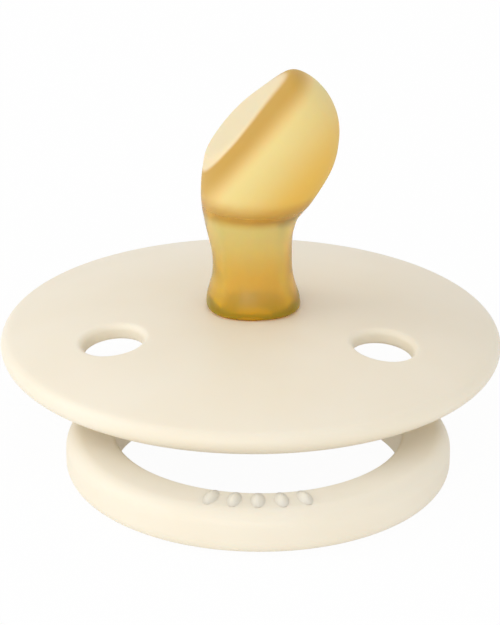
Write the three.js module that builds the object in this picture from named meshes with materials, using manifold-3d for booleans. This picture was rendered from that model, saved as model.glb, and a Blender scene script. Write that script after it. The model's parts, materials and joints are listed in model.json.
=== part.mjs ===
// Pacifier with a round domed shield, a latex teat of orthodontic shape and a swinging ring handle.
//
// Millimetres, +Z up. The origin is on the shield's axis, at the middle of the cover's flat face, so the
// pacifier stands on Z = 0 with its teat up. The ring's hinge axis runs along X and the ring reaches out
// along -Y. The teat's slanted flat face looks towards -X and up.
//
// Five pieces: teat, shield (with its moulded collar), plug, ring (with its moulded hinge bar) and cover.

import * as THREE from 'three';
import { mergeVertices } from 'three/addons/utils/BufferGeometryUtils.js';
import Module from 'manifold-3d';

// ---- driving dimensions ----

const GAP = 0.3; // clearance between neighbouring pieces

const SHIELD_RADIUS = 21.5;
const SHIELD_TOP = 10.0; // height of the dome's middle
const SHIELD_FALL = 2.56; // how far the dome has fallen at the edge
const DOME_POWER = 3; // the dome is nearly flat in the middle and turns down towards the rim
const SHIELD_WALL = 1.4;
const RIM_RADIUS = 1.08; // the rim is a full round bead
const VENT_COUNT = 3;
const VENT_RADIUS = 2.6;
const VENT_CIRCLE = 13.2; // radius of the circle of vents
const REAR_VENT_ANGLE = THREE.MathUtils.degToRad(85); // about +Y; the other two lie either side of the ring

const NECK_RADIUS = 3.4; // of the teat, where it passes the shield
const COLLAR_RADIUS = 6.5;
const COLLAR_WALL = 1.2;

const TEAT_WALL = 1.2;
const BEAD_RADIUS = 5.0; // the teat's clamped bead
const FOOT_GAP = 0.1; // under the teat's foot, which stands over the edge of the hole
const BEAD_HEIGHT = 1.2;
const FACE_LOW = new THREE.Vector3(-3.36, 0, 14.35); // two points on the teat's slanted flat face,
const FACE_HIGH = new THREE.Vector3(2.79, 0, 21.26); // heights counted from the shield's top

const RING_OUTER = 16.0;
const RING_INNER = 11.9;
const RING_HEIGHT = 3.87;
const RING_REACH = 12.1; // from the hinge axis to the ring's centre
const RING_LOWER_ROUND = 1.5; // outer edge, on the side away from the shield
const RING_UPPER_ROUND = 0.7;
const RING_INNER_ROUND = 0.4;
const ARM_BACK = 2.0; // how far the ring's arms reach behind the hinge axis
const BAR_RADIUS = 1.2;
const BAR_Z = 2.5; // height of the hinge axis

const COVER_FLOOR = 1.0;
const COVER_EDGE_ROUND = 0.6;
const SKIRT_WALL = 1.0;
const SPIGOT_RADIUS = 1.9; // the plug's stem, up inside the teat's neck
const SPIGOT_REACH = 0.9; // how far it stops below the shield's top

// ---- sizes worked out from them ----

const SHIELD_UNDER = SHIELD_TOP - SHIELD_WALL; // underside at the middle
const BEAD_TOP = SHIELD_UNDER - GAP;
const BEAD_BOTTOM = BEAD_TOP - BEAD_HEIGHT;
const PLUG_TOP = BEAD_BOTTOM - GAP;
const BAR_CLEARANCE = BAR_RADIUS + GAP; // radius of the channel that the bar turns in
const PLUG_BOTTOM = BAR_Z + BAR_CLEARANCE / 2;
const COLLAR_BORE = COLLAR_RADIUS - COLLAR_WALL;
const COLLAR_BOTTOM = COVER_FLOOR + GAP;
const ARM_X = COLLAR_RADIUS + GAP; // the ring's arms start here, beside the collar

// The teat from its foot up, as rows of: height, left edge, right edge (both in X) and half depth (in Y).
const TEAT_ROWS = [
  [0.0, -3.72, 4.1, 3.7],
  [0.35, -3.83, 4.23, 3.8],
  [1.04, -3.75, 4.11, 3.75],
  [1.8, -3.57, 3.85, 3.6],
  [2.6, -3.37, 3.64, 3.42],
  [3.7, -3.29, 3.5, 3.28],
  [5.0, -3.38, 3.48, 3.2],
  [6.4, -3.68, 3.52, 3.22],
  [8.1, -4.05, 3.98, 3.36],
  [9.5, -4.26, 5.05, 4.05],
  [11.5, -4.26, 6.26, 4.85],
  [13.6, -3.98, 7.12, 5.2],
  [14.6, -3.72, 7.29, 5.22],
  [16.0, -2.97, 7.36, 5.15],
  [17.4, -1.6, 7.12, 4.75],
  [18.8, 0.2, 6.48, 4.0],
  [19.9, 1.6, 5.55, 3.0],
  [20.6, 2.55, 4.55, 1.85],
  [20.9, 3.2, 3.75, 0.5],
];

// ---- helpers ----

const wasm = await Module();
wasm.setup();

function toSolid(geometry) {
  const bare = geometry.index ? geometry.toNonIndexed() : geometry.clone();
  bare.deleteAttribute('normal');
  bare.deleteAttribute('uv');
  const merged = mergeVertices(bare, 1e-5);
  return new wasm.Manifold(
    new wasm.Mesh({
      numProp: 3,
      vertProperties: new Float32Array(merged.attributes.position.array),
      triVerts: new Uint32Array(merged.index.array),
    }),
  );
}

function toGeometry(solid) {
  const mesh = solid.getMesh();
  const geometry = new THREE.BufferGeometry();
  geometry.setAttribute('position', new THREE.BufferAttribute(mesh.vertProperties, 3));
  geometry.setIndex(new THREE.BufferAttribute(mesh.triVerts, 1));
  geometry.computeVertexNormals();
  return geometry;
}

// A solid of revolution about Z from [radius, height] points, listed upwards on the outside.
function turned(points, segments = 40) {
  const profile = points.map(([radius, height]) => new THREE.Vector2(radius, height));
  return toSolid(new THREE.LatheGeometry(profile, segments).rotateX(Math.PI / 2));
}

// An upright cylinder between two heights.
function post(radius, low, high, x = 0, y = 0, segments = 40) {
  const geometry = new THREE.CylinderGeometry(radius, radius, high - low, segments);
  return toSolid(geometry.rotateX(Math.PI / 2).translate(x, y, (low + high) / 2));
}

// A cylinder along X on the hinge axis.
function axle(radius, halfLength, segments = 24) {
  const geometry = new THREE.CylinderGeometry(radius, radius, 2 * halfLength, segments);
  return toSolid(geometry.rotateZ(Math.PI / 2).translate(0, 0, BAR_Z));
}

function block(low, high) {
  const size = high.map((value, axis) => value - low[axis]);
  const middle = high.map((value, axis) => (value + low[axis]) / 2);
  return toSolid(new THREE.BoxGeometry(...size).translate(...middle));
}

// Points of an arc about [radius, height], angles in degrees.
function arc(radius, height, size, from, to, steps) {
  const points = [];
  for (let step = 0; step <= steps; step += 1) {
    const angle = THREE.MathUtils.degToRad(from + ((to - from) * step) / steps);
    points.push([radius + size * Math.cos(angle), height + size * Math.sin(angle)]);
  }
  return points;
}

// Height of a dome whose middle is at the given height.
function domeHeight(middle, radius) {
  return middle - SHIELD_FALL * (radius / SHIELD_RADIUS) ** DOME_POWER;
}

// ---- the pieces ----

function makeShield() {
  const rimCentre = SHIELD_RADIUS - RIM_RADIUS;
  const rimHeight = domeHeight(SHIELD_TOP, rimCentre) - RIM_RADIUS;
  const steepness = (DOME_POWER * SHIELD_FALL * (rimCentre / SHIELD_RADIUS) ** DOME_POWER) / rimCentre;
  const slope = THREE.MathUtils.radToDeg(Math.atan(steepness));
  const ringsAcross = 6;
  const under = [[0, SHIELD_UNDER]];
  const over = [];
  for (let step = 1; step <= ringsAcross; step += 1) {
    const radius = ((rimCentre - RIM_RADIUS) * step) / ringsAcross;
    under.push([radius, domeHeight(SHIELD_UNDER, radius)]);
    over.unshift([radius, domeHeight(SHIELD_TOP, radius)]);
  }
  const rim = arc(rimCentre, rimHeight, RIM_RADIUS, -90 - slope, 90 - slope, 8);
  let solid = turned([...under, ...rim, ...over, [0, SHIELD_TOP]], 72);

  const collar = post(COLLAR_RADIUS, COLLAR_BOTTOM, SHIELD_UNDER + SHIELD_WALL / 2);
  const bore = post(COLLAR_BORE, COLLAR_BOTTOM - 1, SHIELD_UNDER);
  const neckHole = post(NECK_RADIUS + GAP, 0, SHIELD_TOP + 1);
  solid = solid.add(collar).subtract(bore).subtract(neckHole);

  const slotCap = axle(BAR_CLEARANCE, COLLAR_RADIUS + 1);
  const slot = block(
    [-COLLAR_RADIUS - 1, -BAR_CLEARANCE, COLLAR_BOTTOM - 1],
    [COLLAR_RADIUS + 1, BAR_CLEARANCE, BAR_Z],
  );
  solid = solid.subtract(slotCap).subtract(slot);

  for (let index = 0; index < VENT_COUNT; index += 1) {
    const angle = REAR_VENT_ANGLE + (index * 2 * Math.PI) / VENT_COUNT;
    const x = VENT_CIRCLE * Math.cos(angle);
    const y = VENT_CIRCLE * Math.sin(angle);
    solid = solid.subtract(post(VENT_RADIUS, 0, SHIELD_TOP + 1, x, y, 28));
  }
  return toGeometry(solid);
}

// A closed skin through oval sections. Each section is { height, left, right, depth }.
function loft(sections, around = 28) {
  const positions = [];
  const addPoint = (point) => positions.push(point.x, point.y, point.z);
  const rings = sections.map(({ height, left, right, depth }) => {
    const ring = [];
    for (let index = 0; index < around; index += 1) {
      const angle = (index * 2 * Math.PI) / around;
      const x = (left + right) / 2 + ((right - left) / 2) * Math.cos(angle);
      ring.push(new THREE.Vector3(x, depth * Math.sin(angle), height));
    }
    return ring;
  });
  const fan = (ring, flipped) => {
    const middle = ring.reduce((sum, point) => sum.add(point), new THREE.Vector3()).divideScalar(around);
    for (let index = 0; index < around; index += 1) {
      const next = ring[(index + 1) % around];
      const triangle = flipped ? [middle, next, ring[index]] : [middle, ring[index], next];
      triangle.forEach(addPoint);
    }
  };
  fan(rings[0], true);
  for (let level = 1; level < rings.length; level += 1) {
    for (let index = 0; index < around; index += 1) {
      const next = (index + 1) % around;
      const [low, lowNext] = [rings[level - 1][index], rings[level - 1][next]];
      const [high, highNext] = [rings[level][index], rings[level][next]];
      [low, lowNext, highNext, low, highNext, high].forEach(addPoint);
    }
  }
  fan(rings[rings.length - 1], false);
  const geometry = new THREE.BufferGeometry();
  geometry.setAttribute('position', new THREE.Float32BufferAttribute(positions, 3));
  return geometry;
}

// Sections of the teat's bulb and neck, set in by a wall thickness.
function teatSections(inset, count) {
  const edges = new THREE.CatmullRomCurve3(
    TEAT_ROWS.map(([height, left, right]) => new THREE.Vector3(left, right, height)),
    false,
    'catmullrom',
  );
  const depths = new THREE.CatmullRomCurve3(
    TEAT_ROWS.map(([height, , , depth]) => new THREE.Vector3(depth, 0, height)),
    false,
    'catmullrom',
  );
  const top = TEAT_ROWS[TEAT_ROWS.length - 1][0];
  const sections = [];
  for (let step = 0; step <= count; step += 1) {
    const edge = edges.getPoint(step / count);
    const depth = depths.getPoint(step / count).x - inset;
    const [left, right] = [edge.x + inset, edge.y - inset];
    if (depth > 0.4 && right - left > 0.4) {
      const height = SHIELD_TOP + FOOT_GAP + edge.z * (1 - inset / top);
      sections.push({ height, left, right, depth });
    }
  }
  return sections;
}

// Cuts a teat solid along its slanted flat face, moved in by a wall thickness.
function cutFace(solid, inset) {
  const along = FACE_HIGH.clone().sub(FACE_LOW).normalize();
  const outward = new THREE.Vector3(-along.z, 0, along.x);
  const size = 30;
  const centre = FACE_LOW.clone().add(FACE_HIGH).multiplyScalar(0.5);
  centre.z += SHIELD_TOP;
  centre.addScaledVector(outward, size / 2 - inset);
  const cutter = new THREE.BoxGeometry(size, size, size);
  cutter.rotateY(-Math.atan2(outward.z, outward.x));
  return solid.subtract(toSolid(cutter.translate(centre.x, centre.y, centre.z)));
}

function roundSection(height, radius) {
  return { height, left: -radius, right: radius, depth: radius };
}

function makeTeat() {
  const neck = [BEAD_TOP - BEAD_HEIGHT / 2, SHIELD_TOP].map((height) => roundSection(height, NECK_RADIUS));
  const skin = cutFace(toSolid(loft([...neck, ...teatSections(0, 32)])), 0);

  const bore = NECK_RADIUS - TEAT_WALL;
  const innerNeck = [BEAD_BOTTOM - 1, SHIELD_TOP].map((height) => roundSection(height, bore));
  const hollow = cutFace(toSolid(loft([...innerNeck, ...teatSections(TEAT_WALL, 22)])), TEAT_WALL);

  const bead = post(BEAD_RADIUS, BEAD_BOTTOM, BEAD_TOP);
  return toGeometry(skin.add(bead).subtract(hollow));
}

function makePlug() {
  const disc = post(BEAD_RADIUS, PLUG_BOTTOM, PLUG_TOP);
  const spigot = post(SPIGOT_RADIUS, PLUG_BOTTOM, SHIELD_TOP - SPIGOT_REACH);
  return toGeometry(disc.add(spigot).subtract(axle(BAR_CLEARANCE, COLLAR_RADIUS)));
}

function makeRing() {
  const height = RING_HEIGHT;
  const [inner, outer] = [RING_INNER, RING_OUTER];
  const [small, lower, upper] = [RING_INNER_ROUND, RING_LOWER_ROUND, RING_UPPER_ROUND];
  const section = [
    ...arc(inner + small, small, small, 180, 270, 2),
    ...arc(outer - lower, lower, lower, -90, 0, 5),
    ...arc(outer - upper, height - upper, upper, 0, 90, 3),
    ...arc(inner + small, height - small, small, 90, 180, 2),
  ];
  section.push(section[0]);
  const hoop = turned(section, 72).translate(0, -RING_REACH, 0);
  const hubSpace = block([-ARM_X, -RING_REACH / 2, -1], [ARM_X, outer, height + 1]);
  const behind = block([-outer, ARM_BACK, -1], [outer, outer, height + 1]);
  return toGeometry(hoop.subtract(hubSpace).subtract(behind).add(axle(BAR_RADIUS, ARM_X + 1)));
}

function makeCover() {
  const skirtOuter = COLLAR_BORE - GAP;
  const skirtInner = skirtOuter - SKIRT_WALL;
  const skirtTop = PLUG_BOTTOM - GAP;
  const button = [
    [0, 0],
    ...arc(COLLAR_RADIUS - COVER_EDGE_ROUND, COVER_EDGE_ROUND, COVER_EDGE_ROUND, -90, 0, 4),
    [COLLAR_RADIUS, COVER_FLOOR],
    [skirtOuter, COVER_FLOOR],
    [skirtOuter, skirtTop],
    [skirtInner, skirtTop],
    [skirtInner, COVER_FLOOR],
    [0, COVER_FLOOR],
  ];
  const notch = block(
    [-COLLAR_RADIUS, -BAR_CLEARANCE, COVER_FLOOR],
    [COLLAR_RADIUS, BAR_CLEARANCE, PLUG_BOTTOM + 1],
  );
  return toGeometry(turned(button).subtract(notch));
}

// ---- the assembly ----

const creamPlastic = { color: '#f1e7d3', roughness: 0.5, metalness: 0 };
const amberLatex = { color: '#e6b450', roughness: 0.4, metalness: 0 };

const group = new THREE.Group();

function addPiece(name, geometry, finish) {
  const mesh = new THREE.Mesh(geometry, new THREE.MeshStandardMaterial(finish));
  mesh.name = name;
  group.add(mesh);
}

addPiece('shield', makeShield(), creamPlastic);
addPiece('teat', makeTeat(), amberLatex);
addPiece('plug', makePlug(), creamPlastic);
addPiece('ring', makeRing(), creamPlastic);
addPiece('cover', makeCover(), creamPlastic);

export default group;
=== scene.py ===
# %% [markdown]
# # A pacifier with a round shield
#
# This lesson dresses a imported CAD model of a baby's pacifier. The CAD model already has the right sizes,
# and a joint that lets the ring swing. What is made here is what the eye sees: soft moulded edges, a hollow
# latex teat that light passes through, and the finish of matt polypropylene.
#
# The frame is loaded first. Everything after it takes its place from the frame, so nothing has to be
# fitted.

# %% Load the frame
import json
import math

import bpy
import bmesh
import numpy as np
from mathutils import Matrix, Vector


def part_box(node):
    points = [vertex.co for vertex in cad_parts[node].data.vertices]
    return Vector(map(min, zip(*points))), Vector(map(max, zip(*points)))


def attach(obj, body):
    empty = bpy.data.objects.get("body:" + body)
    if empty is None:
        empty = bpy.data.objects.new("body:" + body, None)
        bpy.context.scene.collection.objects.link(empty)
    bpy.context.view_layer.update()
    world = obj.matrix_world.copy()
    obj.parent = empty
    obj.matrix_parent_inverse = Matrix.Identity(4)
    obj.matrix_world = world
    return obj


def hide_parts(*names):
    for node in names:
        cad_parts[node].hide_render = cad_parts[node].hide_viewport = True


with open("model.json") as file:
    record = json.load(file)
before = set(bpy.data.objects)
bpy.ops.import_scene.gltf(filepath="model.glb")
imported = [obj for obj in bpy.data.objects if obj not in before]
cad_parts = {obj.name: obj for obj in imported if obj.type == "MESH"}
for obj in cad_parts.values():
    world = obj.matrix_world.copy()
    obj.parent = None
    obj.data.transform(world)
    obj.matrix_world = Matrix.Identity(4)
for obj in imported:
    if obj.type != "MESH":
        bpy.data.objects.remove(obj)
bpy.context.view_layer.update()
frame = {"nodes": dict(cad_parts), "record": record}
print("nodes:", sorted(frame["nodes"]))

# %% [markdown]
# Blender works in metres and a pacifier is talked about in millimetres, so every shape below is worked out
# in millimetres and turned into metres once, when its mesh is made. `node_box` gives a CAD node's corners
# the same way.

# %% Millimetres
MM = 0.001


def node_box(name):
    """Lowest and highest corners of a CAD node, in millimetres."""
    low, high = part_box(name)
    return np.array(low) / MM, np.array(high) / MM


def make_object(name, points, faces):
    """A mesh object from points in millimetres, with doubles merged so that its seams are closed."""
    mesh = bpy.data.meshes.new(name)
    mesh.from_pydata([tuple(point * MM) for point in np.asarray(points, float)], [], faces)
    work = bmesh.new()
    work.from_mesh(mesh)
    bmesh.ops.remove_doubles(work, verts=work.verts, dist=2e-7)
    bmesh.ops.recalc_face_normals(work, faces=work.faces)
    work.to_mesh(mesh)
    work.free()
    mesh.shade_smooth()
    made = bpy.data.objects.new(name, mesh)
    bpy.context.scene.collection.objects.link(made)
    return made


def report(piece):
    """Prints a piece's size and its open edges, of which there should be none."""
    work = bmesh.new()
    work.from_mesh(piece.data)
    open_edges = sum(1 for edge in work.edges if not edge.is_manifold)
    size = [round(side / MM, 2) for side in piece.dimensions]
    print(f"{piece.name}: {size} mm, {len(work.faces)} faces, {open_edges} open edges, "
          f"volume {work.calc_volume() / MM ** 3:.0f} mm3")
    work.free()


# %% [markdown]
# ## Grids of points
#
# Most of the pieces are skins over rows of points: a row goes round the piece, and rows are stacked along
# it. Two small functions are enough for that. `skin` joins rows with four-sided faces, and `arc` gives the
# points of a rounded edge as (radius, height) pairs.

# %% Skins and arcs
def skin(rows):
    """Points and faces of a grid. Each row goes round the piece and has the same number of points."""
    rows = np.asarray(rows, float)
    count, around = rows.shape[:2]
    faces = []
    for row in range(count - 1):
        for index in range(around):
            following = (index + 1) % around
            faces.append((
                row * around + index,
                row * around + following,
                (row + 1) * around + following,
                (row + 1) * around + index,
            ))
    return rows.reshape(-1, 3), faces


def join_skins(parts):
    """Several (points, faces) pairs as one."""
    points, faces = [], []
    for part_points, part_faces in parts:
        start = sum(len(block) for block in points)
        points.append(part_points)
        faces.extend(tuple(corner + start for corner in face) for face in part_faces)
    return np.concatenate(points), faces


def arc(radius, height, size, start, end, steps):
    """(radius, height) pairs along an arc of the given size about a centre, angles in degrees."""
    angles = np.radians(np.linspace(start, end, steps + 1))
    return np.stack([radius + size * np.cos(angles), height + size * np.sin(angles)], axis=1)


def turn(profile, angles):
    """Rows of points from a (radius, height) profile turned about Z at the given angles."""
    return [
        np.stack([radius * np.cos(angles), radius * np.sin(angles), np.full(len(angles), height)], axis=1)
        for radius, height in profile
    ]


# %% [markdown]
# ## Shield
#
# The shield is one injection moulding: a shallow dome with a rolled rim, three vents so that it can't stop
# the breath, and a collar underneath that holds everything else. A boolean would cut the vents in a second,
# but it leaves long thin triangles across the dome, and soft light shows every one of them. So the plate is
# laid out as a clean grid. Each third of it has one vent, and lines run from the vent's edge out to
# the third's border.
#
# Every point is written as a place on the dome and a depth under it. That makes the rolled edges easy: near
# a vent the depth follows a quarter circle, and the dome's own curve looks after itself.

# %% Sizes of the shield
shield_low, shield_high = node_box("shield")
joint = frame["record"]["behaviour"]["joints"][0]
SHIELD_RADIUS = (shield_high[1] - shield_low[1]) / 2
DOME_FALL = 2.56  # from the middle of the dome to its edge
DOME_POWER = 3  # nearly flat in the middle, and steeper towards the rim
SHIELD_WALL = 1.4
BEAD = 1.08  # radius of the rolled rim
BEAD_BLEND = 3.0  # width over which the underside thickens towards the rim
VENTS = 3
VENT_RADIUS = 2.6
VENT_CIRCLE = 13.2
VENT_TURN = math.radians(85)  # direction of the first vent
VENT_ROUND = 0.55
UNDER_ROUND = 0.3  # the vents' lower edges
NECK_HOLE = 3.5
HOLE_ROUND = 0.2
COLLAR_OUTER = 6.5
COLLAR_INNER = 5.3
COLLAR_ROOT = 0.8  # fillet where the collar meets the plate
LIP_ROUND = 0.25  # rounding of the collar's lower lip
HOLE_BEVEL = 0.1  # at the lower edge of the neck's hole
CEILING_BEVEL = 0.3  # where the collar's inside meets its ceiling
COLLAR_LOW = shield_low[2]


def fall(radius):
    """How far the dome has fallen at a radius."""
    return DOME_FALL * (radius / SHIELD_RADIUS) ** DOME_POWER


def lean(radius):
    """How far the dome's surface leans from level at a radius, as an angle."""
    return np.arctan(DOME_POWER * fall(radius) / np.maximum(radius, 1e-9))


DOME_TOP = shield_high[2] + fall(NECK_HOLE)  # the CAD dome is highest at the edge of the neck's hole
rim_tangent = SHIELD_RADIUS  # where the dome runs into the rolled rim, found by going round a few times
for _ in range(20):
    rim_tangent = SHIELD_RADIUS - BEAD + BEAD * math.sin(lean(rim_tangent))
print(f"dome top at {DOME_TOP:.2f} mm, rim from {rim_tangent:.2f} mm")


# %% From dome coordinates to points
def on_dome(x, y, depth):
    """Points at (x, y) on the dome, moved in by a depth along the dome's own normal."""
    radius = np.hypot(x, y)
    angle = lean(radius)
    scale = 1 - depth * np.sin(angle) / np.maximum(radius, 1e-9)
    return np.stack([x * scale, y * scale, DOME_TOP - fall(radius) - depth * np.cos(angle)], axis=-1)


def wall_at(x, y):
    """Thickness of the plate: even, and growing to the rim's full round over the last stretch."""
    across = np.clip((np.hypot(x, y) - (rim_tangent - BEAD_BLEND)) / BEAD_BLEND, 0, 1)
    return SHIELD_WALL + (2 * BEAD - SHIELD_WALL) * across ** 2 * (3 - 2 * across)


def edge_depths(rounding, steps):
    """Distance from an edge and depth below the face along a quarter-round, from the wall outwards."""
    angles = np.radians(np.linspace(0, 90, steps + 1))
    return rounding * (1 - np.cos(angles)), rounding * (1 - np.sin(angles))


# %% [markdown]
# The border of one third: the inner arc by the neck, a straight line, the outer arc by the rim, and a
# straight line back. Each border point gets a partner on the vent's edge in the same direction, and rows of
# points run between.

# %% One third of the plate
INNER_STEPS = 24
OUTER_STEPS = 48
SIDE_STEPS = 22
FIELD_STEPS = 16
FIELD_CROWDING = 1.25  # above 1, rows stand closer together near the vent
VENT_STEPS = 10  # along the rounding of a vent's upper edge
UNDER_STEPS = 6
THIRD = 2 * math.pi / VENTS


def third_border(inner, outer):
    """The border of one third, centred on +X, as (x, y) points in order."""
    half = THIRD / 2
    outer_angles = np.linspace(-half, half, OUTER_STEPS + 1)[:-1]
    inner_angles = np.linspace(half, -half, INNER_STEPS + 1)[:-1]
    inward = np.linspace(outer, inner, SIDE_STEPS + 1)[:-1]
    outward = np.linspace(inner, outer, SIDE_STEPS + 1)[:-1]
    return np.concatenate([
        np.stack([outer * np.cos(outer_angles), outer * np.sin(outer_angles)], axis=1),
        np.stack([inward * math.cos(half), inward * math.sin(half)], axis=1),
        np.stack([inner * np.cos(inner_angles), inner * np.sin(inner_angles)], axis=1),
        np.stack([outward * math.cos(half), -outward * math.sin(half)], axis=1),
    ])


def third_rows(inner, outer, rounding, steps):
    """Rows of (x, y, depth) from the vent's wall to the border of the third."""
    border = third_border(inner, outer)
    from_vent = border - np.array([VENT_CIRCLE, 0])
    direction = from_vent / np.linalg.norm(from_vent, axis=1, keepdims=True)
    rows = []
    for distance, depth in zip(*edge_depths(rounding, steps)):
        flat = np.array([VENT_CIRCLE, 0]) + direction * (VENT_RADIUS + distance)
        rows.append(np.column_stack([flat, np.full(len(flat), depth)]))
    start = rows[-1][:, :2]
    for step in range(1, FIELD_STEPS + 1):
        share = step / FIELD_STEPS
        flat = start + (border - start) * share ** FIELD_CROWDING
        rows.append(np.column_stack([flat, np.zeros(len(flat))]))
    return np.array(rows)


def turned_plan(rows, angle):
    """The same rows turned about Z."""
    x, y = rows[..., 0], rows[..., 1]
    return np.stack([
        x * math.cos(angle) - y * math.sin(angle),
        x * math.sin(angle) + y * math.cos(angle),
        rows[..., 2],
    ], axis=-1)


# %% [markdown]
# The rest of the shield is turned about its axis: the rolled rim outside, and inside it the hole for the
# neck, the ceiling over the clamped bead, and the collar. Their points stand at the same angles as the
# thirds' borders, so that all the skins meet point to point and can be merged into one closed body.

# %% The whole plate
def plate_parts():
    top_inner = NECK_HOLE + HOLE_ROUND
    under_inner = plan_under(COLLAR_OUTER + COLLAR_ROOT)
    parts = []
    for vent in range(VENTS):
        angle = VENT_TURN + vent * THIRD
        top = turned_plan(third_rows(top_inner, rim_tangent, VENT_ROUND, VENT_STEPS), angle)
        under = turned_plan(third_rows(under_inner, rim_tangent, UNDER_ROUND, UNDER_STEPS), angle)
        top_points = on_dome(top[..., 0], top[..., 1], top[..., 2])
        under_wall = wall_at(under[..., 0], under[..., 1])
        under_points = on_dome(under[..., 0], under[..., 1], under_wall - under[..., 2])
        parts.append(skin(top_points))
        parts.append(skin(under_points))
        parts.append(skin(np.stack([top_points[0], under_points[0]])))
    parts.append(skin(rim_rows()))
    parts.append(skin(hub_rows(under_inner)))
    return parts


def plan_under(radius):
    """The radius on the dome that a point of the underside at the given radius lies below."""
    plan = radius
    for _ in range(20):
        plan = radius + SHIELD_WALL * math.sin(lean(plan))
    return plan


def rim_rows():
    """The rolled rim, a half circle from the dome's edge round to the underside."""
    angles = VENT_TURN - THIRD / 2 + np.linspace(0, 2 * math.pi, VENTS * OUTER_STEPS + 1)[:-1]
    angle = lean(rim_tangent)
    radius = rim_tangent - BEAD * math.sin(angle)
    height = DOME_TOP - fall(rim_tangent) - BEAD * math.cos(angle)
    start = 90 - math.degrees(angle)
    return turn(arc(radius, height, BEAD, start, start - 180, 20), angles)


def hub_rows(under_inner):
    """From the dome's top edge down the neck hole, across the ceiling and round the collar."""
    angles = VENT_TURN - THIRD / 2 + np.linspace(0, 2 * math.pi, VENTS * INNER_STEPS + 1)[:-1]
    rows = []
    for distance, depth in list(zip(*edge_depths(HOLE_ROUND, 4)))[::-1]:
        radius = NECK_HOLE + distance
        rows.append(on_dome(radius * np.cos(angles), radius * np.sin(angles), depth))
    ceiling = DOME_TOP - SHIELD_WALL
    root_height = DOME_TOP - fall(under_inner) - SHIELD_WALL * math.cos(lean(under_inner))
    lip = LIP_ROUND
    profile = np.concatenate([
        [[NECK_HOLE, ceiling + HOLE_BEVEL], [NECK_HOLE + HOLE_BEVEL, ceiling]],
        [[COLLAR_INNER - CEILING_BEVEL, ceiling], [COLLAR_INNER, ceiling - CEILING_BEVEL]],
        arc(COLLAR_INNER + lip, COLLAR_LOW + lip, lip, 180, 270, 4),
        arc(COLLAR_OUTER - lip, COLLAR_LOW + lip, lip, -90, 0, 4),
        arc(COLLAR_OUTER + COLLAR_ROOT, root_height - COLLAR_ROOT, COLLAR_ROOT, 180, 90, 7),
    ])
    return rows + turn(profile, angles)


shield = make_object("shield_shell", *join_skins(plate_parts()))
report(shield)

# %% [markdown]
# The collar has two slots, open at the bottom, that the ring's bar drops into. They are the only cuts left,
# they are out of the way of the dome, and a boolean does them well. The cut's edges are marked sharp, so
# that the smooth shading beside them stays clean.

# %% Slots for the hinge bar
BAR_Z = joint["pos_m"][2] / MM
BAR_RADIUS = 1.2
BAR_PLAY = 0.3
SLOT_SEGMENTS = 24
SHARP_ANGLE = math.radians(35)


def bar_channel(low):
    """A block with a round top, lying along X on the hinge axis, from the given height up past the bar."""
    radius = BAR_RADIUS + BAR_PLAY
    angles = np.linspace(0, math.pi, SLOT_SEGMENTS + 1)
    outline = [(radius * math.cos(angle), BAR_Z + radius * math.sin(angle)) for angle in angles]
    outline += [(-radius, low), (radius, low)]
    reach = COLLAR_OUTER + 1
    points, faces = skin([[(x, y, z) for y, z in outline] for x in (-reach, reach)])
    count = len(outline)
    faces += [tuple(range(count))[::-1], tuple(range(count, 2 * count))]
    return make_object("bar_channel", points, faces)


def apply_modifiers(piece):
    """Bakes a piece's modifiers into its mesh."""
    evaluated = piece.evaluated_get(bpy.context.evaluated_depsgraph_get())
    mesh = bpy.data.meshes.new_from_object(evaluated)
    piece.modifiers.clear()
    piece.data = mesh
    return piece


def cut(piece, cutter):
    """Takes the cutter's shape out of the piece, marks its sharp edges and deletes the cutter."""
    boolean = piece.modifiers.new("cut", "BOOLEAN")
    boolean.object = cutter
    boolean.operation = "DIFFERENCE"
    boolean.solver = "EXACT"
    apply_modifiers(piece)
    piece.data.set_sharp_from_angle(angle=SHARP_ANGLE)
    bpy.data.objects.remove(cutter)


cut(shield, bar_channel(COLLAR_LOW - 1))
report(shield)

# %% [markdown]
# ## Teat
#
# A latex teat is dipped: a shaped former goes into liquid latex and comes out with a skin of about a
# millimetre. So the teat is a hollow shell, and that matters here because light goes through it. Its shape
# is given by rows, each with a height above the shield, a left and a right edge, half its depth and how
# square it is. A smooth curve runs through the rows.
#
# The slanted flat face is made by pressing: points that stand out past a plane are moved back to it. A soft
# version of that rule takes the edge off the ridge where the flat face ends.

# %% Rows of the teat
teat_low, _ = node_box("teat")
TEAT_ROWS = np.array([
    # height, left, right, depth, squareness
    [0.02, -3.62, 4.00, 3.60, 2.4],
    [0.12, -3.74, 4.14, 3.72, 2.4],
    [0.35, -3.83, 4.23, 3.80, 2.4],
    [1.04, -3.75, 4.11, 3.75, 2.3],
    [1.80, -3.57, 3.85, 3.60, 2.2],
    [2.60, -3.37, 3.64, 3.42, 2.1],
    [3.70, -3.29, 3.50, 3.28, 2.0],
    [5.00, -3.38, 3.48, 3.20, 2.0],
    [6.40, -3.68, 3.52, 3.22, 2.0],
    [7.30, -3.90, 3.70, 3.28, 2.0],
    [8.10, -4.05, 3.98, 3.36, 2.0],
    [8.80, -4.18, 4.50, 3.58, 2.0],
    [9.50, -4.26, 5.05, 4.05, 2.0],
    [10.3, -4.30, 5.56, 4.45, 2.0],
    [11.5, -4.26, 6.26, 4.85, 2.0],
    [12.6, -4.14, 6.80, 5.08, 2.0],
    [13.6, -3.98, 7.12, 5.20, 2.0],
    [14.6, -3.72, 7.29, 5.22, 2.0],
    [16.0, -2.97, 7.36, 5.15, 2.0],
    [17.4, -1.60, 7.12, 4.75, 2.0],
    [18.8, 0.20, 6.48, 4.00, 2.0],
    [19.9, 1.60, 5.55, 3.00, 2.0],
    [20.6, 2.55, 4.55, 1.85, 2.0],
    [20.88, 3.10, 3.80, 0.70, 2.0],
    [20.92, 3.40, 3.50, 0.05, 2.0],
])
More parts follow.
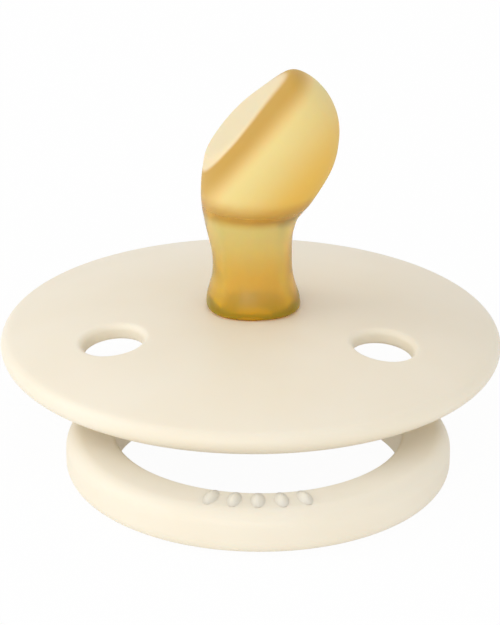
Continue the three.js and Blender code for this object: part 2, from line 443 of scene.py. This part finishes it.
TEAT_WALL = 1.2
FACE_LOW = np.array([-3.36, 14.35])  # two points (x, height) on the slanted flat face
FACE_HIGH = np.array([2.79, 21.26])
FACE_SOFTNESS = 0.04  # how rounded the ridge round the flat face is
TEAT_AROUND = 120
TEAT_LEVELS = 168
LEAST_SIZE = 0.02  # rows smaller than this from side to middle are left out


def smooth_rows(rows, count):
    """Points on a Catmull-Rom curve through the rows."""
    padded = np.vstack([2 * rows[0] - rows[1], rows, 2 * rows[-1] - rows[-2]])
    places = np.linspace(0, len(rows) - 1, count + 1)
    index = np.minimum(places.astype(int), len(rows) - 2)
    t = (places - index)[:, None]
    a, b, c, d = (padded[index + offset] for offset in range(4))
    slope, square, cube = c - a, 2 * a - 5 * b + 4 * c - d, 3 * b - a - 3 * c + d
    return 0.5 * (2 * b + slope * t + square * t ** 2 + cube * t ** 3)


def press_flat(points, inset):
    """Moves points that stand out past the slanted plane back to it, softly."""
    along = (FACE_HIGH - FACE_LOW) / np.linalg.norm(FACE_HIGH - FACE_LOW)
    outward = np.array([-along[1], along[0]])
    low = FACE_LOW + np.array([0, DOME_TOP]) - outward * inset
    distance = (points[..., 0] - low[0]) * outward[0] + (points[..., 2] - low[1]) * outward[1]
    pressed = -FACE_SOFTNESS * np.logaddexp(0, -distance / FACE_SOFTNESS)
    moved = points.copy()
    moved[..., 0] += (pressed - distance) * outward[0]
    moved[..., 2] += (pressed - distance) * outward[1]
    return moved


def oval(left, right, deep, squareness, angles):
    """(x, y) of an oval. Squareness 2 is an ellipse, and more than that fills out its corners."""
    reach = 2 / squareness
    across, along = np.cos(angles), np.sin(angles)
    x = (left + right) / 2 + (right - left) / 2 * np.sign(across) * np.abs(across) ** reach
    return x, deep * np.sign(along) * np.abs(along) ** reach


def teat_skin_rows(inset):
    """Rows of the teat above the shield, from the foot up to the tip, set in by a wall."""
    angles = np.linspace(0, 2 * math.pi, TEAT_AROUND + 1)[:-1]
    top = TEAT_ROWS[-1, 0]
    rows = []
    for height, left, right, depth, squareness in smooth_rows(TEAT_ROWS, TEAT_LEVELS):
        if min((right - left) / 2, depth) - inset > LEAST_SIZE:
            x, y = oval(left + inset, right - inset, depth - inset, squareness, angles)
            z = np.full(TEAT_AROUND, DOME_TOP + height * (1 - inset / top))
            rows.append(np.stack([x, y, z], axis=1))
    return press_flat(np.array(rows), inset)


# %% [markdown]
# Below the shield the neck runs down to a thick ring of latex, the bead, that is clamped between shield and
# plug. The outside, the bead and the inside are one long skin that starts at the tip and ends at the inner
# tip.

# %% The hollow teat
GAP = 0.05  # between parts that are pressed together
BEAD_RADIUS = 5.0
BEAD_TOP = DOME_TOP - SHIELD_WALL - GAP
BEAD_LOW = teat_low[2]
BEAD_ROUND = 0.35
NECK_BEVEL = 0.2  # where the neck meets the bead, outside and inside
NECK_INSIDE = NECK_HOLE - 0.04  # radius of the neck within the shield's hole
NECK_START = 0.2  # how far below the dome the outside of the neck turns round
BORE_END = 0.6  # how far below the dome the bore opens into the hollow


def teat_parts():
    angles = np.linspace(0, 2 * math.pi, TEAT_AROUND + 1)[:-1]
    bore = NECK_INSIDE - TEAT_WALL
    bead = np.concatenate([
        [[NECK_INSIDE, DOME_TOP - NECK_START], [NECK_INSIDE, BEAD_TOP + NECK_BEVEL]],
        [[NECK_INSIDE + NECK_BEVEL, BEAD_TOP]],
        arc(BEAD_RADIUS - BEAD_ROUND, BEAD_TOP - BEAD_ROUND, BEAD_ROUND, 90, 0, 4),
        arc(BEAD_RADIUS - BEAD_ROUND, BEAD_LOW + BEAD_ROUND, BEAD_ROUND, 0, -90, 4),
        [[bore + NECK_BEVEL, BEAD_LOW], [bore, BEAD_LOW + NECK_BEVEL], [bore, DOME_TOP - BORE_END]],
    ])
    rows = list(teat_skin_rows(0)[::-1]) + turn(bead, angles) + list(teat_skin_rows(TEAT_WALL))
    points, faces = skin(rows)
    last = (len(rows) - 1) * TEAT_AROUND
    faces.append(tuple(range(TEAT_AROUND)))
    faces.append(tuple(range(last, last + TEAT_AROUND))[::-1])
    return points, faces


teat = make_object("latex_teat", *teat_parts())
report(teat)

# %% [markdown]
# ## Ring
#
# The ring is also one moulding: a hoop with a flat top, generous outer edges, two arms that end beside the
# collar, and a bar between them. It could be a boolean of a hoop, two blocks and a rod. Here it is a single
# closed skin instead. The section travels round the hoop, shears into the arm's end face, shrinks to the
# bar's circle, and comes back in at the other arm, so even the bar's root has a fillet.

# %% Sizes of the ring
ring_low, ring_high = node_box("ring")
RING_OUTER = (ring_high[0] - ring_low[0]) / 2
RING_INNER = 11.9
RING_CENTRE = ring_low[1] + RING_OUTER
RING_BOTTOM = ring_low[2]
RING_HEIGHT = 3.87
RING_OUTER_ROUND = 1.4
RING_INNER_ROUND = 0.42
ARM_X = 6.8  # where the arms end, beside the collar
ARM_ROUND = 0.5
BAR_FILLET = 0.5
HOOP_STEPS = 220
LEAST_ROUND = 0.02


def ring_section(shrink):
    """(radius, height) points of the hoop's section, offset inwards by shrink."""
    outer = max(RING_OUTER_ROUND - shrink, LEAST_ROUND)
    inner = max(RING_INNER_ROUND - shrink, LEAST_ROUND)
    low, high = RING_BOTTOM + shrink, RING_BOTTOM + RING_HEIGHT - shrink
    near, far = RING_INNER + shrink, RING_OUTER - shrink
    return np.concatenate([
        arc(far - outer, high - outer, outer, 0, 90, 12),
        arc(near + inner, high - inner, inner, 90, 180, 6),
        arc(near + inner, low + inner, inner, 180, 270, 6),
        arc(far - outer, low + outer, outer, -90, 0, 12),
    ])


print(len(ring_section(0)), "points in the ring's section")


# %% The ring's skin
def hoop_row(share, shrink, end_gap=0.0):
    """The section at a share of the way from the front (0) to an arm's end (1 or -1)."""
    section = ring_section(shrink)
    radius = section[:, 0]
    end = math.pi - np.arcsin((ARM_X + end_gap) / radius)
    angle = share * end
    return np.stack([
        radius * np.sin(angle),
        RING_CENTRE - radius * np.cos(angle),
        section[:, 1],
    ], axis=1)


def bar_row(x, size, guide):
    """A circle about the hinge axis whose points look the same way as the guide row's points."""
    direction = np.arctan2(guide[:, 2] - BAR_Z, guide[:, 1])
    return np.stack([
        np.full(len(guide), x),
        size * np.cos(direction),
        BAR_Z + size * np.sin(direction),
    ], axis=1)


def arm_end(side):
    """Rows from the hoop across an arm's end face and up the fillet to the bar. Side is 1 or -1."""
    rows = []
    for angle in np.radians(np.linspace(10, 90, 6)):
        shrink = ARM_ROUND * (1 - math.cos(angle))
        rows.append(hoop_row(side, shrink, ARM_ROUND * (1 - math.sin(angle))))
    guide = rows[-1]
    target = bar_row(side * ARM_X, BAR_RADIUS + BAR_FILLET, guide)
    rows += [guide + (target - guide) * share for share in (0.35, 0.7)]
    for angle in np.radians(np.linspace(0, 90, 5)):
        size = BAR_RADIUS + BAR_FILLET * (1 - math.sin(angle))
        x = ARM_X - BAR_FILLET * (1 - math.cos(angle))
        rows.append(bar_row(side * x, size, guide))
    return rows


hoop_rows = [hoop_row(share, 0.0, ARM_ROUND) for share in np.linspace(-1, 1, HOOP_STEPS + 1)]
ring_grid = arm_end(-1)[::-1] + hoop_rows + arm_end(1)
ring_points, ring_faces = skin(ring_grid + [ring_grid[0]])
ring = make_object("handle_ring", ring_points, ring_faces)
report(ring)

# %% [markdown]
# ## Cover and plug
#
# Two small turned shapes close the hub. The cover is the button that the pacifier stands on, with a skirt
# that goes up inside the collar. The plug sits above it, presses on the teat's bead, and stops the neck
# with a stem. Turning a profile and cutting one channel for the bar is all that either needs.

# %% Turned pieces
TURN_STEPS = 96


def turned_piece(name, profile):
    """A closed body from a (radius, height) profile that starts and ends on the axis."""
    angles = np.linspace(0, 2 * math.pi, TURN_STEPS + 1)[:-1]
    rows = turn(profile[1:-1], angles)
    points, faces = skin(rows)
    for row, height in ((0, profile[0][1]), (len(rows) - 1, profile[-1][1])):
        middle = len(points)
        points = np.vstack([points, [[0, 0, height]]])
        for index in range(TURN_STEPS):
            following = (index + 1) % TURN_STEPS
            faces.append((row * TURN_STEPS + index, row * TURN_STEPS + following, middle))
    return make_object(name, points, faces)


# %% Cover
cover_low, cover_high = node_box("cover")
COVER_RADIUS = (cover_high[0] - cover_low[0]) / 2
COVER_FLOOR = 1.0
COVER_ROUND = 0.6
SKIRT_OUTER = COLLAR_INNER - 0.08
SKIRT_INNER = SKIRT_OUTER - 1.2
LEDGE_ROUND = 0.12
SKIRT_ROUND = 0.2
SKIRT_BEVEL = 0.1
GROOVE_RADIUS = 4.3  # a shallow ring that keeps the face from sinking in the mould
GROOVE_ROUND = 0.25

cover_profile = np.concatenate([
    [[0, 0], [1.2, 0], [2.6, 0]],
    arc(GROOVE_RADIUS - 2 * GROOVE_ROUND, GROOVE_ROUND, GROOVE_ROUND, -90, -30, 4),
    arc(GROOVE_RADIUS, 0, GROOVE_ROUND, 150, 30, 6),
    arc(GROOVE_RADIUS + 2 * GROOVE_ROUND, GROOVE_ROUND, GROOVE_ROUND, -150, -90, 4),
    arc(COVER_RADIUS - COVER_ROUND, COVER_ROUND, COVER_ROUND, -90, 0, 8),
    arc(COVER_RADIUS - LEDGE_ROUND, COVER_FLOOR - LEDGE_ROUND, LEDGE_ROUND, 0, 90, 3),
    [[SKIRT_OUTER, COVER_FLOOR]],
    arc(SKIRT_OUTER - SKIRT_ROUND, cover_high[2] - SKIRT_ROUND, SKIRT_ROUND, 0, 90, 3),
    arc(SKIRT_INNER + SKIRT_ROUND, cover_high[2] - SKIRT_ROUND, SKIRT_ROUND, 90, 180, 3),
    [[SKIRT_INNER, COVER_FLOOR + SKIRT_BEVEL], [SKIRT_INNER - SKIRT_BEVEL, COVER_FLOOR]],
    [[0, COVER_FLOOR]],
])
cover = turned_piece("rear_cover", cover_profile)
cut(cover, bar_channel(COVER_FLOOR))
report(cover)

# %% Plug
plug_low, plug_high = node_box("plug")
PLUG_RADIUS = COLLAR_INNER - 0.1
STEM_RADIUS = NECK_HOLE - TEAT_WALL - 0.15
PLUG_FACE = BEAD_LOW - GAP
PLUG_ROUND = 0.2
STEM_FOOT = 0.3
STEM_ROUND = 0.8

plug_profile = np.concatenate([
    [[0, plug_low[2]], [2.0, plug_low[2]]],
    arc(PLUG_RADIUS - PLUG_ROUND, plug_low[2] + PLUG_ROUND, PLUG_ROUND, -90, 0, 3),
    arc(PLUG_RADIUS - PLUG_ROUND, PLUG_FACE - PLUG_ROUND, PLUG_ROUND, 0, 90, 3),
    [[STEM_RADIUS + STEM_FOOT, PLUG_FACE], [STEM_RADIUS, PLUG_FACE + STEM_FOOT]],
    arc(STEM_RADIUS - STEM_ROUND, plug_high[2] - STEM_ROUND, STEM_ROUND, 0, 90, 6),
    [[0, plug_high[2]]],
])
plug = turned_piece("inner_plug", plug_profile)
cut(plug, bar_channel(COVER_FLOOR))
report(plug)

# %% [markdown]
# ## Grip ribs
#
# A short row of raised ribs is moulded into the front of the ring, where a finger finds it. They repeat
# along a path, which is work for Geometry Nodes: an arc, a few points on it, one rib on each. A rib is a
# cone whose rings are moved to a smooth hump that runs out level at its foot, so it looks moulded on and
# not stuck on. Ribs could also be an array of a modelled mesh, but then the arc's radius and the spacing
# would be hidden in its numbers.

# %% One function adds a node
def add_node(tree, kind, inputs=None, **settings):
    """Adds a node. Settings are its own properties; an input is a value, or the socket to link from."""
    made = tree.nodes.new(kind)
    for name, value in settings.items():
        setattr(made, name, value)
    for name, value in (inputs or {}).items():
        socket = made.inputs[name]
        if isinstance(value, bpy.types.NodeSocket):
            tree.links.new(value, socket)
        else:
            socket.default_value = value
    return made


# %% Grip ribs: the node tree
RIB_COUNT = 5
RIB_PITCH = 1.9
RIB_LENGTH = 2.7
RIB_WIDTH = 1.25
RIB_HEIGHT = 0.34
RIB_CIRCLE = 13.5  # radius of the row, on the flat of the ring
RIB_SINK = 0.01
RIB_TURN = math.radians(-3.3)  # the row sits a little to one side of the ring's front


def rib_tree(material):
    tree = bpy.data.node_groups.new("grip_ribs", "GeometryNodeTree")
    face = tree.interface
    face.new_socket("Geometry", in_out="OUTPUT", socket_type="NodeSocketGeometry")
    face.new_socket("Geometry", in_out="INPUT", socket_type="NodeSocketGeometry")
    for name in ("Circle Radius", "Pitch", "Length", "Width", "Height", "Sink"):
        face.new_socket(name, in_out="INPUT", socket_type="NodeSocketFloat")
    face.new_socket("Count", in_out="INPUT", socket_type="NodeSocketInt")
    given = tree.nodes.new("NodeGroupInput").outputs

    def calc(operation, first, second=0.0):
        return add_node(tree, "ShaderNodeMath", {0: first, 1: second}, operation=operation).outputs[0]

    # the hump: 1 in the middle, 0 and level at the foot
    cone = add_node(tree, "GeometryNodeMeshCone", {
        "Vertices": 32, "Side Segments": 12, "Radius Top": 0.0, "Radius Bottom": 1.0, "Depth": 1.0,
    }, fill_type="NGON")
    place = add_node(tree, "GeometryNodeInputPosition").outputs[0]
    flat = add_node(tree, "ShaderNodeVectorMath", {0: place, 1: (1, 1, 0)}, operation="MULTIPLY").outputs[0]
    out = add_node(tree, "ShaderNodeVectorMath", {0: flat}, operation="LENGTH").outputs["Value"]
    slope = calc("SUBTRACT", 1.0, calc("MULTIPLY", out, out))
    hump = calc("POWER", calc("MAXIMUM", slope, 0.0), 1.6)
    lift = add_node(tree, "ShaderNodeCombineXYZ", {"Z": hump}).outputs[0]
    level = add_node(tree, "ShaderNodeVectorMath", {0: flat, 1: lift}, operation="ADD").outputs[0]
    rib = add_node(tree, "GeometryNodeSetPosition", {"Geometry": cone.outputs["Mesh"], "Position": level})
    size = add_node(tree, "ShaderNodeCombineXYZ", {
        "X": calc("MULTIPLY", given["Width"], 0.5),
        "Y": calc("MULTIPLY", given["Length"], 0.5),
        "Z": given["Height"],
    }).outputs[0]
    rib = add_node(tree, "GeometryNodeTransform", {"Geometry": rib.outputs[0], "Scale": size}).outputs[0]

    # the row: points on an arc, all turned to face its centre
    points = add_node(tree, "GeometryNodePoints", {"Count": given["Count"]}).outputs[0]
    index = add_node(tree, "GeometryNodeInputIndex").outputs[0]
    middle = calc("MULTIPLY", calc("SUBTRACT", given["Count"], 1.0), 0.5)
    along = calc("MULTIPLY", calc("SUBTRACT", index, middle), given["Pitch"])
    angle = calc("DIVIDE", along, given["Circle Radius"])
    spot = add_node(tree, "ShaderNodeCombineXYZ", {
        "X": calc("MULTIPLY", calc("SINE", angle), given["Circle Radius"]),
        "Y": calc("MULTIPLY", calc("COSINE", angle), calc("MULTIPLY", given["Circle Radius"], -1.0)),
        "Z": calc("MULTIPLY", given["Sink"], -1.0),
    }).outputs[0]
    points = add_node(tree, "GeometryNodeSetPosition", {"Geometry": points, "Position": spot}).outputs[0]
    facing = add_node(tree, "ShaderNodeCombineXYZ", {"Z": angle}).outputs[0]
    row = add_node(tree, "GeometryNodeInstanceOnPoints", {
        "Points": points, "Instance": rib, "Rotation": facing,
    }).outputs[0]
    real = add_node(tree, "GeometryNodeRealizeInstances", {"Geometry": row}).outputs[0]
    soft = add_node(tree, "GeometryNodeSetShadeSmooth", {"Geometry": real}).outputs[0]
    dressed = add_node(tree, "GeometryNodeSetMaterial", {"Geometry": soft, "Material": material}).outputs[0]
    add_node(tree, "NodeGroupOutput", {0: dressed})
    return tree


def run_tree(name, tree, values):
    """An object whose mesh is the tree's result. Inputs are set by identifier before the first evaluation."""
    host = bpy.data.objects.new(name, bpy.data.meshes.new(name))
    bpy.context.scene.collection.objects.link(host)
    modifier = host.modifiers.new(name, "NODES")
    modifier.node_group = tree
    for item in tree.interface.items_tree:
        if item.in_out == "INPUT" and item.name in values:
            modifier[item.identifier] = values[item.name]
    return apply_modifiers(host)


# %% [markdown]
# ## Materials
#
# Colours are written as sRGB hex values, as a colour picker shows them, and turned to linear light in one
# place. Both of the pacifier's materials have a fine grain from their mould or former. A painted picture
# could give it, but a noise in the object's own coordinates needs no unwrapping and has a real size.

# %% Colour and grain
def hex_colour(code):
    """A linear RGBA colour from an sRGB hex code."""
    channels = [int(code[place:place + 2], 16) / 255 for place in (1, 3, 5)]
    linear = [c / 12.92 if c <= 0.04045 else ((c + 0.055) / 1.055) ** 2.4 for c in channels]
    return (*linear, 1.0)


def new_material(name):
    """A material with an empty node tree."""
    material = bpy.data.materials.new(name)
    material.use_nodes = True
    material.node_tree.nodes.clear()
    return material, material.node_tree


def fine_grain(tree, place, size, strength, depth):
    """A fine noise, and the bump that it makes. Size and depth are in millimetres."""
    noise = add_node(tree, "ShaderNodeTexNoise", {
        "Vector": place, "Scale": 1 / (size * MM), "Detail": 3.0, "Roughness": 0.6,
    }).outputs["Fac"]
    bump = add_node(tree, "ShaderNodeBump", {"Height": noise, "Strength": strength, "Distance": depth * MM})
    return noise, bump.outputs[0]


# %% [markdown]
# **Moulded polypropylene.** The shield, ring and cover are polypropylene from a spark-eroded mould. The
# plastic is slightly milky, so thin rims glow a little. The mould's fine pits give a soft broad sheen with
# no sharp reflections. They are finer than a tenth of a millimetre, and are drawn at twice that so that
# they show. Faint clouds in the tint, some millimetres across, keep the wide dome from looking painted.

# %% Moulded polypropylene
MOULD_PITS = 0.22
TINT_CLOUDS = 9.0


def moulded_polypropylene():
    material, tree = new_material("moulded_polypropylene")
    place = add_node(tree, "ShaderNodeTexCoord").outputs["Object"]
    cloud = add_node(tree, "ShaderNodeTexNoise", {
        "Vector": place, "Scale": 1 / (TINT_CLOUDS * MM), "Detail": 2.0, "Roughness": 0.5,
    }).outputs["Fac"]
    tint = add_node(tree, "ShaderNodeValToRGB", {"Fac": cloud})
    tint.color_ramp.elements[0].position = 0.3
    tint.color_ramp.elements[0].color = hex_colour("#F0E6D1")
    tint.color_ramp.elements[1].position = 0.7
    tint.color_ramp.elements[1].color = hex_colour("#F2E9D6")
    grain, pits = fine_grain(tree, place, MOULD_PITS, 0.12, 0.02)
    sheen = add_node(tree, "ShaderNodeMapRange", {"Value": grain, "To Min": 0.40, "To Max": 0.52}).outputs[0]
    shader = add_node(tree, "ShaderNodeBsdfPrincipled", {
        "Base Color": tint.outputs[0],
        "Roughness": sheen,
        "IOR": 1.49,
        "Subsurface Weight": 0.25,
        "Subsurface Radius": (1.0, 0.8, 0.6),
        "Subsurface Scale": 1.2 * MM,
        "Normal": pits,
    })
    add_node(tree, "ShaderNodeOutputMaterial", {"Surface": shader.outputs[0]})
    return material


plastic = moulded_polypropylene()
print(plastic.name, "has", len(plastic.node_tree.nodes), "nodes")

# %% [markdown]
# **Dipped latex.** Natural rubber latex is a clear amber that turns deeper where light has further to go.
# An absorption inside the walls does that, and a plain surface colour couldn't. The former is polished at
# the neck and blasted at the bulb: the neck is glossy and half clear, and the bulb is frosted and milky.
#
# Tints by height on the neck, and by distance behind the flat face on the bulb, are painted light and shade.
# On the neck, painted shade darkens the foot and the crease, and the neck grows lighter up to a painted
# highlight just below the crease. On the bulb, painted light brightens the flat face, painted shade darkens a
# band behind its ridge, and the tint turns a deeper amber towards the back. They read the teat's own
# coordinates, so they stay where they are from every side. The index of refraction is set below that of
# solid latex, about 1.5: at 1.5 the thin shell shows dark bent edges, which a soft teat doesn't have.

# %% Tints of the latex: painted light and shade
CREASE = 10.0  # height of the crease between neck and bulb, above the shield
CREASE_BLEND = 1.2
NECK_REACH = CREASE + CREASE_BLEND
# Painted light and shade on the neck: painted shade at the foot and in the crease, and a painted highlight
# just below the crease.
NECK_PAINTED_LIGHT_AND_SHADE = (  # height above the shield, and the tint there
    (0.0, "#FFD630"),
    (3.0, "#FFE478"),
    (7.9, "#FFFABC"),
    (9.1, "#E4BF66"),
    (NECK_REACH, "#E4BF66"),
)
BULB_REACH = 8.0
# Painted light and shade on the bulb: painted light on the flat face, painted shade in a band behind its
# ridge, and deeper amber towards the back.
BULB_PAINTED_LIGHT_AND_SHADE = (  # distance behind the flat face, and the tint there
    (0.0, "#FFE6BC"),
    (0.25, "#D4AC56"),
    (0.6, "#D4AC56"),
    (2.4, "#FFE49E"),
    (BULB_REACH, "#FFC95C"),
)
FACE_CURVE = 40.0  # radius of the slight curve the tints follow along the face


def painted_light_steps(tree, distance, tints, reach):
    """A soft blend through the tints of painted light and shade, at their distances."""
    step = add_node(tree, "ShaderNodeValToRGB", {"Fac": distance})
    ramp = step.color_ramp
    ramp.interpolation = "EASE"
    while len(ramp.elements) < len(tints):
        ramp.elements.new(1.0)
    for stop, (place, colour) in zip(ramp.elements, tints):
        stop.position = place / reach
        stop.color = hex_colour(colour)
    return step.outputs[0]


def behind_face(tree, place):
    """The share of BULB_REACH by which a point lies behind the flat face."""
    along = (FACE_HIGH - FACE_LOW) / np.linalg.norm(FACE_HIGH - FACE_LOW)
    middle = (FACE_HIGH + FACE_LOW) / 2 + FACE_CURVE * np.array((along[1], -along[0]))
    centre = (middle[0] * MM, 0, (middle[1] + DOME_TOP) * MM)
    flat = add_node(tree, "ShaderNodeVectorMath", {0: place, 1: (1, 0, 1)}, operation="MULTIPLY").outputs[0]
    away = add_node(tree, "ShaderNodeVectorMath", {0: flat, 1: centre}, operation="DISTANCE").outputs["Value"]
    return add_node(tree, "ShaderNodeMapRange", {
        "Value": away, "From Min": FACE_CURVE * MM, "From Max": (FACE_CURVE - BULB_REACH) * MM,
    }).outputs[0]


# %% Dipped latex
NECK_ROUGHNESS = 0.24
BULB_ROUGHNESS = 0.5
NECK_CLEARNESS = 0.7
BULB_CLEARNESS = 0.15
FROST_GRAIN = 0.3


def dipped_latex():
    material, tree = new_material("dipped_latex")
    place = add_node(tree, "ShaderNodeTexCoord").outputs["Object"]
    height = add_node(tree, "ShaderNodeSeparateXYZ", {0: place}).outputs["Z"]
    level = (DOME_TOP + CREASE) * MM
    bulb = add_node(tree, "ShaderNodeMapRange", {
        "Value": height, "From Min": level - CREASE_BLEND * MM, "From Max": level + CREASE_BLEND * MM,
    }, interpolation_type="SMOOTHSTEP").outputs[0]
    up_neck = add_node(tree, "ShaderNodeMapRange", {
        "Value": height, "From Min": DOME_TOP * MM, "From Max": (DOME_TOP + NECK_REACH) * MM,
    }).outputs[0]
    # The base colour mixes the neck's and the bulb's painted light and shade.
    colour = add_node(tree, "ShaderNodeMix", {
        0: bulb,
        6: painted_light_steps(tree, up_neck, NECK_PAINTED_LIGHT_AND_SHADE, NECK_REACH),
        7: painted_light_steps(tree, behind_face(tree, place), BULB_PAINTED_LIGHT_AND_SHADE, BULB_REACH),
    }, data_type="RGBA").outputs[2]
    rough = add_node(tree, "ShaderNodeMapRange", {
        "Value": bulb, "To Min": NECK_ROUGHNESS, "To Max": BULB_ROUGHNESS,
    }).outputs[0]
    clear = add_node(tree, "ShaderNodeMapRange", {
        "Value": bulb, "To Min": NECK_CLEARNESS, "To Max": BULB_CLEARNESS,
    }).outputs[0]
    _, frost = fine_grain(tree, place, FROST_GRAIN, 0.15, 0.03)
    shader = add_node(tree, "ShaderNodeBsdfPrincipled", {
        "Base Color": colour,
        "Roughness": rough,
        "IOR": 1.3,
        "Subsurface Weight": 0.73,
        "Subsurface Radius": (1.0, 0.78, 0.51),
        "Subsurface Scale": 1.5 * MM,
        "Transmission Weight": clear,
        "Normal": frost,
    })
    depth = add_node(tree, "ShaderNodeVolumeAbsorption", {"Color": hex_colour("#FFE438"), "Density": 360.0})
    add_node(tree, "ShaderNodeOutputMaterial", {"Surface": shader.outputs[0], "Volume": depth.outputs[0]})
    return material


latex = dipped_latex()
print(latex.name, "has", len(latex.node_tree.nodes), "nodes")

# %% [markdown]
# The ribs' tree sets their material itself, so it runs now that the plastic exists. The row is turned a few
# degrees and set on the ring's flat top. Every other piece gets its material in one go.

# %% Ribs on the ring
ribs = run_tree("grip_ribs", rib_tree(plastic), {
    "Circle Radius": RIB_CIRCLE * MM, "Pitch": RIB_PITCH * MM, "Length": RIB_LENGTH * MM,
    "Width": RIB_WIDTH * MM, "Height": RIB_HEIGHT * MM, "Sink": RIB_SINK * MM, "Count": RIB_COUNT,
})
ribs.data.transform(Matrix.Rotation(RIB_TURN, 4, "Z"))
ribs.data.transform(Matrix.Translation((0, RING_CENTRE * MM, (RING_BOTTOM + RING_HEIGHT) * MM)))
report(ribs)

# %% Dress the pieces
for piece, material in ((shield, plastic), (ring, plastic), (cover, plastic), (plug, plastic), (teat, latex)):
    piece.data.materials.clear()
    piece.data.materials.append(material)

# %% [markdown]
# ## Join the pieces to the frame
#
# Each piece rides on the body that carries it, and stands for the CAD node that it replaces. The ribs ride
# with the ring.

# %% Ride and replace
for piece, node_name, body in (
    (shield, "shield", "pacifier_body"),
    (teat, "teat", "pacifier_body"),
    (plug, "plug", "pacifier_body"),
    (cover, "cover", "pacifier_body"),
    (ring, "ring", "ring_handle"),
):
    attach(piece, body)
    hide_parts(node_name)
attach(ribs, "ring_handle")

# %% [markdown]
# ## Studio
#
# A small pale object on a white ground wants soft light from all round, with a little more from one side to
# shape it. The ground stands for an acrylic table that is lit from below. It glows, so the pacifier's own
# shadow fades out on it. The object gets less of that glow than the camera sees, so that its underside
# stays in shade.

# %% Floor
FLOOR_SIZE = 3000
FLOOR_GAP = 0.02
GLOW_SEEN = 0.96  # share of the floor's look that is its own glow
GLOW_GIVEN = 0.25  # the same, as the object meets it


def white_floor():
    material, tree = new_material("white_acrylic_table")
    matt = add_node(tree, "ShaderNodeBsdfDiffuse", {"Color": hex_colour("#F7F7F7")}).outputs[0]
    glow = add_node(tree, "ShaderNodeEmission", {"Color": hex_colour("#FFFFFF"), "Strength": 1.0}).outputs[0]
    seen = add_node(tree, "ShaderNodeLightPath").outputs["Is Camera Ray"]
    share = add_node(tree, "ShaderNodeMapRange", {
        "Value": seen, "To Min": GLOW_GIVEN, "To Max": GLOW_SEEN,
    }).outputs[0]
    both = add_node(tree, "ShaderNodeMixShader", {0: share, 1: matt, 2: glow}).outputs[0]
    add_node(tree, "ShaderNodeOutputMaterial", {"Surface": both})
    return material


half_floor = FLOOR_SIZE / 2
floor = make_object("floor", [
    (-half_floor, -half_floor, -FLOOR_GAP), (half_floor, -half_floor, -FLOOR_GAP),
    (half_floor, half_floor, -FLOOR_GAP), (-half_floor, half_floor, -FLOOR_GAP),
], [(0, 1, 2, 3)])
floor.data.materials.append(white_floor())

print("floor", FLOOR_SIZE, "mm wide")

# %% Lights
LIGHT_DISTANCE = 0.7
ROOM_LIGHT = 0.79
LIGHT_AIM = Vector((0, 0, DOME_TOP * MM))


def softbox(name, direction, size, power):
    """A square area light in a direction (x, y, z) from the dome's top, facing it."""
    lamp = bpy.data.lights.new(name, "AREA")
    lamp.shape = "SQUARE"
    lamp.size = size
    lamp.energy = power
    made = bpy.data.objects.new(name, lamp)
    bpy.context.scene.collection.objects.link(made)
    away = Vector(direction).normalized()
    made.location = LIGHT_AIM + away * LIGHT_DISTANCE
    made.rotation_euler = away.to_track_quat("Z", "Y").to_euler()
    print(f"{name}: {size} m wide, {power} W")


softbox("window_light", (-1.0, 0.0, 0.6), size=0.5, power=1.38)
softbox("front_light", (-0.2, -1.0, 0.15), size=0.4, power=1.16)

world = bpy.data.worlds.new("studio")
bpy.context.scene.world = world
world.use_nodes = True
world.node_tree.nodes["Background"].inputs["Color"].default_value = (1, 1, 1, 1)
world.node_tree.nodes["Background"].inputs["Strength"].default_value = ROOM_LIGHT
bpy.context.scene.view_settings.view_transform = "Standard"

# %% [markdown]
# ## Camera
#
# A long lens from 30 cm, a little above the shield and a touch to the left of the ring. The camera is
# placed by its direction and by what it looks at, not by hand.

# %% Camera
VIEW_SIDE = math.radians(-3.16)
VIEW_UP = math.radians(23.2)
VIEW_ROLL = math.radians(0.33)
VIEW_DISTANCE = 300
VIEW_HEIGHT = 53.63  # how much the frame takes in at that distance, from bottom to top
AIM_RIGHT = -0.08  # the middle of the frame, from the middle of the dome
AIM_UP = -0.73
SENSOR = 36

back = Vector((
    math.sin(VIEW_SIDE) * math.cos(VIEW_UP),
    -math.cos(VIEW_SIDE) * math.cos(VIEW_UP),
    math.sin(VIEW_UP),
))
level_right = Vector((math.cos(VIEW_SIDE), math.sin(VIEW_SIDE), 0))
level_up = back.cross(level_right)
right = level_right * math.cos(VIEW_ROLL) + level_up * math.sin(VIEW_ROLL)
up = level_up * math.cos(VIEW_ROLL) - level_right * math.sin(VIEW_ROLL)
spot = Vector((0, 0, DOME_TOP)) + right * AIM_RIGHT + up * AIM_UP + back * VIEW_DISTANCE

lens = bpy.data.cameras.new("camera")
lens.sensor_width = SENSOR
lens.lens = SENSOR * VIEW_DISTANCE / VIEW_HEIGHT
lens.clip_start = 10 * MM
camera = bpy.data.objects.new("camera", lens)
bpy.context.scene.collection.objects.link(camera)
camera.matrix_world = Matrix.Translation(spot * MM) @ Matrix((right, up, back)).transposed().to_4x4()
bpy.context.scene.camera = camera
print(f"lens {lens.lens:.0f} mm")
